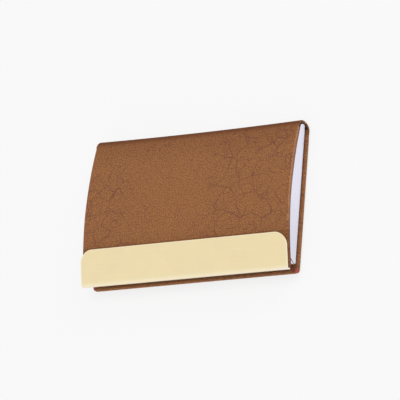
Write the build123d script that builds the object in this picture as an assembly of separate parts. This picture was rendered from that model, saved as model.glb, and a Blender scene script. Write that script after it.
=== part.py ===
from build123d import *
import os
from math import asin, atan2, cos, degrees, hypot, radians, sin, sqrt, tan

# Card holder: two leather-covered boards joined over the top by a half-round leather
# spine, with a pressed steel card tray on the back panel and a gilt closure plate on the
# free edge of the arched flap. It lies on its back panel, closed.
# Millimetres. X runs across the case, Y from its mouth to its spine, Z up from the table.
# Side profiles are drawn as (distance from the back panel's lower edge, height).

# ---- Driving dimensions -------------------------------------------------------------
case_width = 95.0            # back panel and closure plate, across
spine_margin = 0.8           # spine and the flap's hinge end, in from the back panel's sides
flap_margin = 0.25           # flap at its free edge, in from the closure plate's ends
panel_depth = 57.7           # lower edge of the back panel to the centre of the spine's curve
spine_radius = 4.75          # outside of the spine's curve
arch_radius = 115.4          # outside of the flap's arch
arch_crown = 29.5            # lower edge of the back panel to the crown of the arch

leather_t = 0.5              # cover leather
backed_leather_t = 1.0       # leather with its bonded backing, in the spine
panel_board_t = 1.4          # back board, where the turned-in leather lies on it
flap_board_t = 0.8           # flap board, where the turned-in leather lies on it
turn_in = 6.0                # width of the leather turned in round the boards
board_past_centre = 1.2      # back board, past the centre of the spine's curve
panel_corner_r = 1.3         # corners of the back panel, seen from the front
panel_edge_r = 1.0           # rounding of the leather round the back board's edges
flap_edge_r = 0.7            # rounding of the leather round the flap board's edges
mitre_open = 1.3             # width of the open mitre at the corners of the back panel

lining_t = 0.3               # cloth lining
lining_margin = 2.5          # leather left bare beside the lining
spine_lining_margin = 0.7    # the same at the ends of the spine

tape_t = 0.2                 # double-sided tape under the tray
tape_inset = 6.0             # tape, in from the edges of the tray's floor
tray_margin = 1.2            # card tray, in from the back panel's sides
tray_sheet = 0.5             # steel of the tray's base
tray_end = 3.1               # lower edge of the back panel to the tray's end wall, at the floor
tray_corner_r = 1.3          # lower back corners of the tray's side walls
tray_tip_r = 0.8             # upper corners of the tray's side walls
tray_bend_r = 0.7            # outside of the bend between floor and side wall
floor_past_centre = -0.5     # floor of the tray, past the centre of the spine's curve
seam_height = 1.7            # where the corner seam leaves the end wall, above the floor's back
seam_lean = 23.5             # lean of the corner seam from upright, degrees
seam_gap = 0.25              # open width of the corner seam

front_sheet = 0.4            # spring steel of the tray's front
front_depth = 52.0           # lower edge of the back panel to the mouth of the tray
front_foot = 5.0             # foot of the front, welded on the floor
front_bend_r = 1.2           # outside of the bend between front and end wall
window_width = 54.0          # thumb window in the front
window_start = 20.0          # lower edge of the back panel to the thumb window
window_r = 13.0              # lower corners of the thumb window
arm_r = 4.0                  # free corners of the front's two arms

plate_height = 15.5          # closure plate, over its face
plate_t = 1.0                # metal of the closure plate
plate_wall = 2.7             # closure plate, over its wall under the flap's edge
plate_corner_r = 5.5         # upper corners of the closure plate
plate_bend_r = 1.2           # outside of the closure plate's bend
plate_edge_r = 0.25          # softened edges of the closure plate
plate_overhang = 1.0         # closure plate, past the lower edge of the back panel

magnet_length = 20.0
magnet_width = 5.0
magnet_t = 1.0
magnet_spacing = 50.0        # between the middles of the two magnets

# ---- Clearances ---------------------------------------------------------------------
hinge_gap = 0.15             # between the rigid stretches of leather at each fold
tray_gap = 0.25              # flap over the tray's side walls, and spine round their tips
front_gap = 0.3              # flap lining over the tray's front
side_gap = 0.1               # tray's front, clear of the bends inside the side walls
plate_gap = 0.1              # closure plate on the crown of the leather under it
pocket_gap = 0.05            # magnets in their pockets

# ---- Worked out ---------------------------------------------------------------------
spine_width = case_width - 2 * spine_margin
flap_width = case_width - 2 * flap_margin
tray_width = case_width - 2 * tray_margin
panel_t = panel_board_t + 2 * leather_t
flap_t = flap_board_t + 2 * leather_t
board_end = panel_depth + board_past_centre
cover_end = board_end + leather_t
spine_centre = (panel_depth, spine_radius)
centre_offset = arch_radius - spine_radius
arch_centre = (arch_crown, spine_radius - sqrt(centre_offset**2 - (panel_depth - arch_crown)**2))
# Directions are in degrees from straight down, turning through the spine to the flap.
spine_turn = 180 - degrees(asin((panel_depth - arch_crown) / centre_offset))
first_fold = spine_turn / 4
second_fold = 3 * spine_turn / 4
spine_bore = spine_radius - backed_leather_t
lining_bore = spine_bore - lining_t

tray_z = panel_t + lining_t + tape_t
floor_top = tray_z + tray_sheet
flange_arch_r = arch_radius - flap_t - tray_gap
front_outer_r = arch_radius - flap_t - lining_t - front_gap
front_inner_r = front_outer_r - front_sheet
end_lean = degrees(atan2(arch_crown - tray_end, tray_z - arch_centre[1]))
end_turn = 180 + end_lean

# The plate's flat face touches the arch at its middle; its bend is its outermost point.
plate_above = plate_t + plate_gap
plate_below = (plate_height + plate_t) / 2
bend_out = arch_radius + plate_above - plate_bend_r
bend_down = plate_below - plate_bend_r
bend_reach = hypot(bend_out, bend_down)
plate_turn = 180 + degrees(asin((arch_crown + plate_overhang - plate_bend_r) / bend_reach))
plate_turn -= degrees(atan2(bend_down, bend_out))

half_gap_turn = degrees(hinge_gap / 2 / spine_radius)
floor_end = panel_depth + floor_past_centre
case_depth = plate_overhang + panel_depth + spine_radius
middle = case_depth / 2 - plate_overhang
far = 2 * case_depth         # longer than anything that it cuts


# ---- Helpers ------------------------------------------------------------------------
def towards(turn, distance, centre=(0, 0)):
    """Point at a distance from a centre, in a direction turned from straight down."""
    return (centre[0] + distance * sin(radians(turn)), centre[1] - distance * cos(radians(turn)))


def plate_point(up, out):
    """Point of the side profile, from the leather under the middle of the closure plate."""
    foot = towards(plate_turn, arch_radius + out, arch_centre)
    return towards(plate_turn - 90, up, foot)


def area(*points):
    """Closed flat outline with straight sides."""
    return make_face(Polyline(*points, close=True))


def block(x0, x1, y0, y1):
    """Rectangle between two distances along each axis of its outline."""
    return area((x0, y0), (x1, y0), (x1, y1), (x0, y1))


def disc(centre, radius):
    return Pos(*centre) * Circle(radius)


def fan(centre, start, stop):
    """All that lies between two directions from a centre."""
    half = (start + stop) / 2
    return area(centre, towards(start, far, centre), towards(half, 2 * far, centre),
                towards(stop, far, centre))


def sector(centre, inner, outer, start, stop):
    """Curved strip of a side profile, between two directions from its centre."""
    return (disc(centre, outer) - disc(centre, inner)) & fan(centre, start, stop)


def across(profile, width):
    """Solid of a side profile, as wide to the left as to the right."""
    return extrude(Plane.YZ * profile, width / 2, both=True)


def upright(plan, z0, z1):
    """Solid of a plan outline between two heights."""
    return extrude(Pos(0, 0, z0) * plan, z1 - z0)


def under_spine(radius):
    """Side profile of what lies inside the spine's curve or short of it."""
    return block(-far, panel_depth, -far, far) + disc(spine_centre, radius)


def turn_of(length, radius):
    """Degrees that an arc of this length and radius turns."""
    return degrees(length / radius)


# ---- Back panel ---------------------------------------------------------------------
def rounded_slab(width, y0, y1, z0, z1, corner_r, edge_r):
    """Slab with rounded corners at the mouth and softened edges, square at the spine."""
    slab = upright(block(-width / 2, width / 2, y0, y1), z0, z1)
    slab = fillet(slab.edges().filter_by(Axis.Z).group_by(Axis.Y)[0], corner_r)
    faces = slab.faces().filter_by(Axis.Z)
    rim = [edge for face in faces for edge in face.edges() if edge.center().Y < y1 - edge_r]
    return fillet(rim, edge_r)


def make_back_board():
    """Fibreboard, thinner at its margins, where the turned-in leather lies flush."""
    board = rounded_slab(case_width - 2 * leather_t, leather_t, board_end,
                         leather_t, panel_t - leather_t,
                         panel_corner_r - leather_t, panel_edge_r - leather_t)
    board += across(block(turn_in, board_end, leather_t, panel_t), case_width - 2 * turn_in)
    return board & across(under_spine(spine_radius - leather_t), case_width)


def mitre(side):
    """Wedge that opens the mitre between two turn-ins at a lower corner."""
    inner = (side * (case_width / 2 - turn_in - mitre_open), turn_in + mitre_open)
    past = mitre_open
    half = mitre_open / sqrt(8)
    tip = (side * (case_width / 2 + past), -past)
    first = (tip[0] + half, tip[1] + side * half)
    second = (tip[0] - half, tip[1] - side * half)
    return upright(area(inner, first, second), leather_t, 2 * panel_t)


def make_back_leather():
    """Leather round the back board, with the stretch of spine up to the first fold."""
    cover = rounded_slab(case_width, 0, cover_end, 0, panel_t, panel_corner_r, panel_edge_r)
    cover &= across(under_spine(spine_radius), case_width)
    curve = sector(spine_centre, spine_bore, spine_radius, 0, first_fold - half_gap_turn)
    cover += across(curve, spine_width)
    cover -= make_back_board()
    for side in (-1, 1):
        cover -= mitre(side)
    return cover


def make_back_lining():
    """Cloth over the board, down its end and along the spine to the first fold."""
    flat = block(tray_end + lining_margin, cover_end + lining_t, panel_t, panel_t + lining_t)
    drop = block(cover_end, cover_end + lining_t, 0, panel_t + lining_t)
    step_turn = degrees(asin((cover_end - panel_depth) / spine_bore))
    curve = sector(spine_centre, lining_bore, spine_bore, step_turn, first_fold - half_gap_turn)
    curve &= block(cover_end, far, 0, far)
    profile = flat + (drop & disc(spine_centre, spine_bore)) + curve
    return across(profile, case_width - 2 * lining_margin)


# ---- Card tray ----------------------------------------------------------------------
def end_wall_point(height):
    """Point of the end wall's outer face, which stands square to the flap's arch."""
    return (arch_crown - (height - arch_centre[1]) * tan(radians(end_lean)), height)


def seam_line(offset):
    """Foot and head of the corner seam, moved along the case by an offset."""
    foot = end_wall_point(tray_z + seam_height)
    rise = 4 * spine_radius
    return ((foot[0] + offset, foot[1]),
            (foot[0] + offset + rise * tan(radians(seam_lean)), foot[1] + rise))


def flange_profile():
    """Side wall of the tray: straight back, arched front, ends rounded into the case."""
    foot, head = seam_line(seam_gap)
    outline = area(end_wall_point(tray_z), foot, head, (far, head[1]), (far, tray_z))
    outline &= disc(arch_centre, arch_radius - flap_t - tray_gap)
    outline &= under_spine(lining_bore - tray_gap)
    outline = fillet(outline.vertices().sort_by(Axis.Y)[:2].sort_by(Axis.X)[0], tray_corner_r)
    return fillet(outline.vertices().sort_by(Axis.X)[-2:], tray_tip_r)


def channel(inset):
    """Long channel, open above: the tray's outside or, inset by its sheet, its inside."""
    half = tray_width / 2 - inset
    section = block(-half, half, tray_z + inset, far)
    section = fillet(section.vertices().group_by(Axis.Y)[0], tray_bend_r - inset)
    return extrude(Plane.XZ * section, far, both=True)


def make_tray_base():
    """Floor and two arched side walls, pressed from one sheet."""
    pan = across(flange_profile(), tray_width) & channel(0)
    past_floor = across(block(floor_end, far, -far, far), tray_width - 2 * tray_bend_r)
    return pan - channel(tray_sheet) - past_floor


def front_shell(drop, start):
    """Outline of the front's outer or, dropped by the sheet, its inner faces."""
    shell = disc(arch_centre, front_outer_r - drop)
    shell &= Pos(drop / cos(radians(end_lean)), 0) * fan(arch_centre, start, end_turn)
    shell &= block(-far, far, floor_top + drop, far)
    return fillet(shell.vertices().sort_by(Axis.X)[:2], front_bend_r - drop)


def make_tray_front():
    """Spring front: arch, end wall, foot and ears from one sheet, with a thumb window."""
    mouth = 180 - degrees(asin((front_depth - arch_crown) / front_outer_r))
    shell = front_shell(0, mouth)
    inner = front_shell(front_sheet, mouth - end_lean)
    inner += block(tray_end + front_foot, far, -far, floor_top + front_sheet)
    sheet = shell - inner
    front = across(sheet, tray_width - 2 * (tray_bend_r + side_gap))
    window = block(-window_width / 2, window_width / 2, window_start, far)
    window = fillet(window.vertices().group_by(Axis.Y)[0], window_r)
    front -= upright(window, floor_top + 2 * front_sheet, far)
    tips = front.edges().filter_by(lambda edge: edge.length < 2 * front_sheet)
    front = fillet(tips.group_by(Axis.Y)[-1], arm_r)
    foot, head = seam_line(0)
    ear = shell & area(foot, head, (-far, head[1]), (-far, foot[1]))
    front += across(ear, tray_width) - across(ear, tray_width - 2 * front_sheet)
    front += across(ear & sheet, tray_width)
    return front


def make_tray_tape():
    """Double-sided tape that holds the tray to the lining."""
    half = tray_width / 2 - tape_inset
    return upright(block(-half, half, tray_end + tape_inset, floor_end - tape_inset),
                   panel_t + lining_t, tray_z)


# ---- Spine --------------------------------------------------------------------------
def make_spine_leather():
    profile = sector(spine_centre, spine_bore, spine_radius,
                     first_fold + half_gap_turn, second_fold - half_gap_turn)
    return across(profile, spine_width)


def make_spine_lining():
    profile = sector(spine_centre, lining_bore, spine_bore,
                     first_fold + half_gap_turn, second_fold - half_gap_turn)
    return across(profile, spine_width - 2 * spine_lining_margin)


# ---- Flap ---------------------------------------------------------------------------
def taper(inset):
    """Plan of the flap, which widens from the spine to its free edge."""
    slope = (flap_width - spine_width) / 2 / panel_depth
    near, past = -case_depth / 4, panel_depth + spine_radius
    wide = flap_width / 2 - inset - slope * near
    narrow = flap_width / 2 - inset - slope * past
    return area((-wide, near), (wide, near), (narrow, past), (-narrow, past))


def arch_layer(top, bottom, inset, start):
    """Layer of the flap between two depths under its face, inset at its sides and free edge."""
    past_edge = 2 * plate_turn - 180
    profile = sector(arch_centre, arch_radius - bottom, arch_radius - top, start, past_edge)
    edge = plate_t - plate_below + inset
    profile &= area(plate_point(edge, -far), plate_point(edge, far),
                    plate_point(far, far), plate_point(far, -far))
    return across(profile, far) & upright(taper(inset), 0, far)


def soften(layer):
    """Round the flap's free corners and its rim, but not its end at the spine."""
    short = layer.edges().filter_by(lambda edge: edge.length < 2 * flap_t)
    layer = fillet(short.group_by(Axis.Y)[0], flap_edge_r)
    skins = layer.faces().sort_by(SortBy.AREA)[-2:]
    rim = [edge for skin in skins for edge in skin.edges() if edge.center().Y < panel_depth - flap_t]
    return fillet(rim, flap_edge_r)


def magnet_block(side, gap, open_depth):
    """Bar magnet in the flap board, or with a gap and a depth its pocket from the inside."""
    up = plate_t - plate_below + turn_in + magnet_width / 2 + 2 * pocket_gap
    out = -(leather_t + flap_t - magnet_t) / 2
    low = out - magnet_t - open_depth
    profile = area(plate_point(up - magnet_width / 2 - gap, low),
                   plate_point(up + magnet_width / 2 + gap, low),
                   plate_point(up + magnet_width / 2 + gap, out + gap),
                   plate_point(up - magnet_width / 2 - gap, out + gap))
    bar = across(profile, magnet_length + 2 * gap)
    return Pos(side * magnet_spacing / 2, 0, 0) * bar


def flap_core():
    """Flap board without its pockets: thinner at its margins, under the turned-in leather."""
    start = spine_turn + turn_of(leather_t, arch_radius)
    core = arch_layer(leather_t, flap_t - leather_t, leather_t, start)
    return core + arch_layer(leather_t, flap_t, turn_in, start)


def make_flap_board():
    """Springy board with a pocket for each magnet."""
    board = flap_core()
    for side in (-1, 1):
        board -= magnet_block(side, pocket_gap, flap_t)
    return board


def make_flap_leather():
    """Leather round the flap board, with the stretch of spine from the second fold."""
    cover = soften(arch_layer(0, flap_t, 0, spine_turn))
    curve = sector(spine_centre, spine_bore, spine_radius, second_fold + half_gap_turn, spine_turn)
    cover += across(curve, spine_width)
    return cover - flap_core()


def make_flap_lining():
    """Cloth over the flap board, down its end and along the spine from the second fold."""
    inner = arch_radius - flap_t - lining_t
    sheet = arch_layer(flap_t, flap_t + lining_t, lining_margin, spine_turn)
    end = [towards(spine_turn, inner - arch_radius + spine_radius, spine_centre),
           towards(spine_turn, spine_bore, spine_centre)]
    drop = area(*end, *[towards(spine_turn - 90, lining_t, point) for point in end[::-1]])
    curve = sector(spine_centre, lining_bore, spine_bore, second_fold + half_gap_turn, spine_turn)
    return (sheet & across(block(-far, far, -far, far), case_width - 2 * lining_margin)) + across(
        drop + curve, spine_width - 2 * lining_margin)


def make_closure_plate():
    """Bent metal plate: flat face with two rounded corners, and a wall under the flap's edge."""
    low, high = -plate_below, plate_height - plate_below
    top, bottom = plate_gap + plate_t, plate_gap + plate_t - plate_wall
    profile = area(plate_point(low, bottom), plate_point(low, top), plate_point(high, top),
                   plate_point(high, plate_gap), plate_point(low + plate_t, plate_gap),
                   plate_point(low + plate_t, bottom))
    plate = across(profile, case_width)
    width_edges = plate.edges().filter_by(Axis.X)
    plate = fillet(width_edges.sort_by(Axis.Y)[:1], plate_bend_r)
    tops = plate.edges().filter_by(lambda edge: edge.length < 2 * plate_t).group_by(Axis.Y)[-1]
    plate = fillet(tops, plate_corner_r)
    face = plate.faces().filter_by(GeomType.PLANE).sort_by(SortBy.AREA)[-2:].sort_by(Axis.Z)[-1]
    rim = [edge for edge in face.edges() if edge.center().Y > face.center().Y - plate_height / 3]
    return fillet(rim, plate_edge_r)


def make_all():
    """Every piece, by the name that a person would use."""
    return {
        "back_board": make_back_board(),
        "back_leather": make_back_leather(),
        "back_lining": make_back_lining(),
        "tray_tape": make_tray_tape(),
        "tray_base": make_tray_base(),
        "tray_front": make_tray_front(),
        "spine_leather": make_spine_leather(),
        "spine_lining": make_spine_lining(),
        "flap_board": make_flap_board(),
        "flap_leather": make_flap_leather(),
        "flap_lining": make_flap_lining(),
        "closure_plate": make_closure_plate(),
        "magnet_left": magnet_block(-1, 0, 0),
        "magnet_right": magnet_block(1, 0, 0),
    }


def main():
    """Write each piece with the origin under the middle of the closed case."""
    os.makedirs("parts", exist_ok=True)
    for name, piece in make_all().items():
        export_step(Pos(0, -middle, 0) * piece, f"parts/{name}.step")


if __name__ == "__main__":
    main()
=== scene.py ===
import math

import bmesh
import bpy
from bpy.props import FloatProperty, FloatVectorProperty, IntProperty, PointerProperty
from mathutils import Matrix, Vector


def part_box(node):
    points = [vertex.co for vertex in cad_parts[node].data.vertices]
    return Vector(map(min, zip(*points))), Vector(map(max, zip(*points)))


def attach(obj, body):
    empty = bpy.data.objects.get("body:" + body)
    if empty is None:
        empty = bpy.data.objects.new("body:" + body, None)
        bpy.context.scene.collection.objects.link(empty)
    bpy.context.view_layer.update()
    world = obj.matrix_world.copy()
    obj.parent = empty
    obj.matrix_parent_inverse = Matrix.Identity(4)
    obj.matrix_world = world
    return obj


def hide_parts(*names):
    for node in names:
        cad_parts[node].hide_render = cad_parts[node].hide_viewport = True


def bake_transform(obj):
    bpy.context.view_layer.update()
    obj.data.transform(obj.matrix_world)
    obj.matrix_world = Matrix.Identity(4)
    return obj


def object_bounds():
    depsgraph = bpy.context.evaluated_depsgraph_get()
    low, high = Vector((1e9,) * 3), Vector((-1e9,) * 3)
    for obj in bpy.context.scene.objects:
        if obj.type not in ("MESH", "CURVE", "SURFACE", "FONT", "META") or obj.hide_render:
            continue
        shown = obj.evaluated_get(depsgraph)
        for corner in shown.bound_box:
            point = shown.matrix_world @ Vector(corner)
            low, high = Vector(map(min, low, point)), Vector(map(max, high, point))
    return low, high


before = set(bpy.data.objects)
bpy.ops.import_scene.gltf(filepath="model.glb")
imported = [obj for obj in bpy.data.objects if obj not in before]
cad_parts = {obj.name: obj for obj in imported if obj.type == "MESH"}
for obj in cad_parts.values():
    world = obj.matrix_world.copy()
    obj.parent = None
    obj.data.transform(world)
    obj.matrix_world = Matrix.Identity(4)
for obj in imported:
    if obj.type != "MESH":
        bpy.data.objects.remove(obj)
cad_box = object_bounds()

bl_info = {
    "name": "Leather card holder",
    "version": (1, 0, 0),
    "blender": (4, 5, 0),
    "location": "View3D > Sidebar > Card holder",
    "description": "Models the covers, linings, closure plate and finishes of a card holder",
    "category": "Object",
}

MM = 0.001
MERGE = 1e-6                 # points nearer than this are one
ON_PLANE = 2e-5              # how near a point counts as on a plane
BEND_CELL = 3 * MM           # spacing of cuts across a piece that bends one way
INSIDE = 0.05 * MM           # back cover's end under the spine's leather
CORNER_FILL = 0.96           # share of the open mitre that the board fills
INNER_ROLL = 0.15 * MM       # edge radius inside the spine's leather
CLOTH_ROLL = 0.1 * MM        # edge radius of the spine's lining
CLOTH_EDGE = 0.12 * MM       # softening of the flat linings' edges
RUB_AND_HIGHLIGHT_WIDTH = 0.8 * MM         # edge to where the leather's rubbing and its painted highlight end
LIFT_FROM, LIFT_FULL = 15 * MM, 35 * MM      # spine to where the arch's leather lifts
WALLS_FROM, WALLS_FULL = 44 * MM, 45 * MM    # tray's middle to its sprung side walls

# Places taken from the solids
MOUTH_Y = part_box("back_leather")[0].y          # lower edge of the back panel
CASE_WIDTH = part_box("closure_plate")[1].x * 2
PANEL_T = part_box("back_leather")[1].z


# ---- Settings -----------------------------------------------------------------------
def length(name, millimetres, description):
    """A length that a user can set, given in millimetres."""
    return FloatProperty(name=name, description=description, default=millimetres * MM,
                         min=0.0, precision=5, unit="LENGTH", subtype="DISTANCE")


def share(name, value, description):
    """A setting between 0 and 1."""
    return FloatProperty(name=name, description=description, default=value,
                         min=0.0, max=1.0, subtype="FACTOR")


def colour(name, value, description):
    return FloatVectorProperty(name=name, description=description, default=value,
                               size=3, min=0.0, max=1.0, subtype="COLOR")


def angle(name, degrees, description):
    return FloatProperty(name=name, description=description,
                         default=math.radians(degrees), subtype="ANGLE")


class CaseForm(bpy.types.PropertyGroup):
    """Side profile that the covers, the spine and the plate share."""
    panel_depth: length("Panel depth", 57.7, "Lower edge to the centre of the spine's curve")
    spine_radius: length("Spine radius", 4.75, "Outside of the spine's curve")
    arch_radius: length("Arch radius", 115.4, "Outside of the flap's arch")
    arch_crown: length("Arch crown", 29.5, "Lower edge to the crown of the arch")
    arch_lift: length("Arch lift", 0.3, "Leather of the arch above its circle near the plate")
    spine_bow: length("Spine bow", 0.5, "How far the middle of the spine sinks in")
    spine_width: length("Spine width", 94.0, "Case where the flap meets the spine")


class CoverForm(bpy.types.PropertyGroup):
    """Leather round the two boards."""
    leather: length("Leather", 0.5, "Thickness of the cover leather")
    turn_in: length("Turn-in", 6.0, "Leather turned in round the boards")
    end_rim: length("End rim", 1.5, "Leather left inside at the spine's end")
    panel_end: length("Panel end", 59.4, "Lower edge to the end of the back cover")
    panel_corner: length("Panel corner", 1.8, "Corner radius of the back panel")
    panel_edge: length("Panel edge", 1.0, "Edge radius of the back panel")
    panel_taper: length("Panel taper", 0.12, "How far the panel's sides draw in at the spine")
    flap_t: length("Flap thickness", 2.2, "Flap with its leather")
    flap_width: length("Flap width", 95.0, "Flap at its free edge")
    flap_corner: length("Flap corner", 1.5, "Corner radius of the flap's free edge")
    flap_edge: length("Flap edge", 0.8, "Edge radius of the flap's outer face")
    flap_inner_edge: length("Inner edge", 0.35, "Edge radius of the flap's inner face")
    mitre_apex: length("Mitre apex", 3.2, "Edge to the point where the mitre closes")
    mitre_open: length("Open mitre", 1.25, "Width of the mitre at the corner")
    mitre_sink: length("Mitre sink", 0.08, "Board below the leather in the open mitre")
    board_corner: length("Board corner", 1.55, "Corner radius of the board in the open mitre")
    board_edge: length("Board edge", 0.6, "Edge radius of the board in the open mitre")
    lining_margin: length("Lining margin", 2.5, "Leather left bare beside the flap's lining")
    cell: length("Cell", 1.2, "Spacing of the cover's mesh")


class SpineForm(bpy.types.PropertyGroup):
    """Soft spine and its lining."""
    leather: length("Backed leather", 1.0, "Leather with its backing")
    lining: length("Lining", 0.3, "Thickness of the lining cloth")
    margin: length("Margin", 0.2, "Least leather left bare at the ends of the lining")
    start_roll: length("Start roll", 0.8, "Edge radius where the spine leaves the panel")
    end_roll: length("Roll", 0.3, "Edge radius round the rest of the spine")
    steps: IntProperty(name="Steps", description="Segments round half the spine",
                       default=40, min=8)


class PlateForm(bpy.types.PropertyGroup):
    """Gilt closure plate."""
    height: length("Height", 15.1, "Face of the plate, from bend to top")
    metal: length("Metal", 0.6, "Thickness of the metal")
    wall: length("Wall", 2.7, "Height of the wall under the flap's edge")
    wall_corner: length("Wall corner", 0.9, "Radius of the wall's lower corners")
    corner: length("Corner", 5.5, "Radius of the upper corners")
    bend: length("Bend", 1.0, "Outside radius of the bend")
    edge: length("Edge", 0.15, "Softening of the edges")
    gap: length("Gap", 0.2, "Plate over the crown of the leather")
    overhang: length("Overhang", 0.7, "Plate past the back panel's lower edge")
    lean: angle("Lean", 2.0, "Plate turned down at the free edge, about its middle")
    aside: length("Aside", 0.2, "Plate off the middle of the flap")


class TrayForm(bpy.types.PropertyGroup):
    """Sprung steel tray."""
    spread: length("Spread", 0.55, "Side walls sprung outwards")
    nose: length("Nose", 2.5, "Panel's lower edge to the foremost part")
    end: length("End", 2.93, "Panel's lower edge to the side walls' ends")
    foot: length("Foot", 4.6, "Table to the lowest point of the slanting seam")
    seam_lean: angle("Seam lean", 66.5, "Slanting seam from the table")
    seam_gap: length("Seam gap", 0.15, "Side walls cut back from the ears")
    corner: length("Corner", 1.7, "Lower corners of the side walls")
    edge: length("Edge", 0.15, "Softening of the cut edges")


class Finishes(bpy.types.PropertyGroup):
    """Colours of the object's finishes."""
    leather: colour("Leather", (0.301, 0.1265, 0.0422), "Main brown of the leather")
    crease: colour("Crease", (0.115, 0.042, 0.037), "Dark brown in the creases")
    # deep brown that the leather is blended toward: a darker tone along the spine's fold,
    # painted shade where the arch turns from the light, and a painted shadow along the plate's
    # top edge
    bent: colour("Bent", (0.090, 0.026, 0.008), "Deep brown where the leather bends")
    # pale brown of rubbed edges, also a painted highlight where the rolled edges catch the
    # light
    worn: colour("Worn", (0.400, 0.190, 0.095), "Pale brown of rubbed edges")
    vein: length("Vein spacing", 7.0, "Distance between the large creases of the leather")
    grain: length("Grain", 0.75, "Size of the leather's pebbles")
    gilt: colour("Gilt", (0.91, 0.77, 0.473), "Closure plate")
    # painted highlight on the plate's rim and bend
    gilt_highlight: colour("Polished gilt", (0.98, 0.87, 0.62), "Polished edges of the plate")
    steel: colour("Steel", (0.83, 0.82, 0.94), "Card tray")
    cloth: colour("Cloth", (0.022, 0.015, 0.016), "Lining")
    red: colour("Red board", (0.55, 0.062, 0.052), "Dyed back board")
    grey: colour("Grey board", (0.30, 0.26, 0.20), "Flap board")
    tape: colour("Tape", (0.70, 0.70, 0.64), "Tape under the tray")
    nickel: colour("Nickel", (0.66, 0.64, 0.60), "Magnets")
    # painted white highlight on the plate's bend, strongest at its right end
    bend_highlight: colour("Bare nickel", (0.97, 0.95, 0.98), "Plate where its gilt is gone")


class StageForm(bpy.types.PropertyGroup):
    """Camera and light."""
    azimuth: angle("Azimuth", 58.7306, "Camera round the case")
    elevation: angle("Elevation", 54.6923, "Camera above the table")
    roll: angle("Roll", -59.2305, "Camera turned about its own line of sight")
    distance: length("Distance", 1605.88, "Camera to the case")
    lens: FloatProperty(name="Lens", description="Focal length on a 36 mm sensor",
                        default=360.55, min=1.0)
    slide_x: length("Slide across", 2.11, "Camera moved to its right")
    slide_y: length("Slide up", 1.67, "Camera moved up")
    aim_y: length("Aim", 0.775, "Point the camera turns about, along the case")
    aim_z: length("Aim height", 6.0, "Point the camera turns about, above the table")
    pale: share("Background", 0.93, "Brightness of the background")
    fill: share("Fill", 0.62, "Light from all round")
    plain: share("Plain floor", 0.87, "How much of the floor takes no light or shadow")


class CardHolder(bpy.types.PropertyGroup):
    case: PointerProperty(type=CaseForm)
    cover: PointerProperty(type=CoverForm)
    spine: PointerProperty(type=SpineForm)
    plate: PointerProperty(type=PlateForm)
    tray: PointerProperty(type=TrayForm)
    finish: PointerProperty(type=Finishes)
    stage: PointerProperty(type=StageForm)


# ---- Side profile -------------------------------------------------------------------
def ease(value, start=0.0, stop=1.0):
    """Smooth step from 0 at the start to 1 at the stop."""
    part = min(max((value - start) / (stop - start), 0), 1)
    return part * part * (3 - 2 * part)


def towards(turn, distance, centre):
    """Point at a distance from a centre, turned in radians from straight down."""
    return centre + distance * Vector((0, math.sin(turn), -math.cos(turn)))


class Profile:
    """Centres and directions of the side profile, worked out from the settings."""

    def __init__(self, form):
        case, plate = form.case, form.plate
        offset = case.arch_radius - case.spine_radius
        reach = case.panel_depth - case.arch_crown
        self.spine_radius, self.arch_radius = case.spine_radius, case.arch_radius
        self.arch_lift, self.spine_bow = case.arch_lift, case.spine_bow
        self.spine_width, self.flap_width = case.spine_width, form.cover.flap_width
        self.panel_taper = form.cover.panel_taper
        self.spine = Vector((0, MOUTH_Y + case.panel_depth, case.spine_radius))
        self.arch = Vector((0, MOUTH_Y + case.arch_crown,
                            case.spine_radius - math.sqrt(offset**2 - reach**2)))
        self.spine_turn = math.pi - math.asin(reach / offset)
        out = case.arch_radius + case.arch_lift + plate.gap + plate.metal - plate.bend
        down = (plate.height + plate.metal) / 2 - plate.bend
        lean = (case.arch_crown + plate.overhang - plate.bend) / math.hypot(out, down)
        self.plate_turn = math.pi + math.asin(lean) - math.atan2(down, out)
        self.plate_below = (plate.height + plate.metal) / 2
        self.plate_lean, self.plate_aside = plate.lean, plate.aside
        self.free_turn = self.plate_turn + math.atan2(self.plate_below - plate.metal,
                                                      case.arch_radius)
        self.flap_length = (self.free_turn - self.spine_turn) * case.arch_radius
        self.half_spine = self.spine_turn / 2 * case.spine_radius

    def on_flap(self, point):
        """Place on the arch of a point drawn flat: across, from the free edge, depth."""
        turn = self.free_turn - point.y / self.arch_radius
        lift = self.arch_lift * ease(self.flap_length - point.y, LIFT_FROM, LIFT_FULL)
        place = towards(turn, self.arch_radius + lift - point.z, self.arch)
        return Vector((point.x, place.y, place.z))

    def on_plate(self, point):
        """Place of a point of the closure plate: across, up, out."""
        point = Matrix.Rotation(self.plate_lean, 3, "X") @ point
        foot = towards(self.plate_turn, self.arch_radius + self.arch_lift + point.z,
                       self.arch)
        place = towards(self.plate_turn - math.pi / 2, point.y, foot)
        return Vector((point.x - self.plate_aside, place.y, place.z))

    def bow(self, point):
        """Sinks in the middle of the case's spine end."""
        width = 1 - (2 * point.x / self.spine_width) ** 2
        fade = ease(point.y, self.arch.y, self.spine.y)
        rise = ease(point.z, 0, self.spine_radius)
        return point - Vector((0, self.spine_bow * max(width, 0) * fade * rise, 0))

    def on_bowed_flap(self, point):
        """Place on the arch, drawn in and sunk in toward the spine."""
        along = point.y / self.flap_length
        narrow = 1 + (self.spine_width / self.flap_width - 1) * along
        return self.bow(self.on_flap(Vector((point.x * narrow, point.y, point.z))))


# ---- Modelling helpers --------------------------------------------------------------
SELECT_MODES = {"VERT": (True, False, False), "EDGE": (False, True, False),
                "FACE": (False, False, True)}


def add_block(name, low, high):
    """A block between two corners, alone selected, with its place in its mesh."""
    low, high = Vector(low), Vector(high)
    bpy.ops.object.select_all(action="DESELECT")
    bpy.ops.mesh.primitive_cube_add(size=1, location=(low + high) / 2, scale=high - low)
    bpy.ops.object.transform_apply(location=True, rotation=True, scale=True)
    piece = bpy.context.object
    piece.name = piece.data.name = name
    return piece


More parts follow.
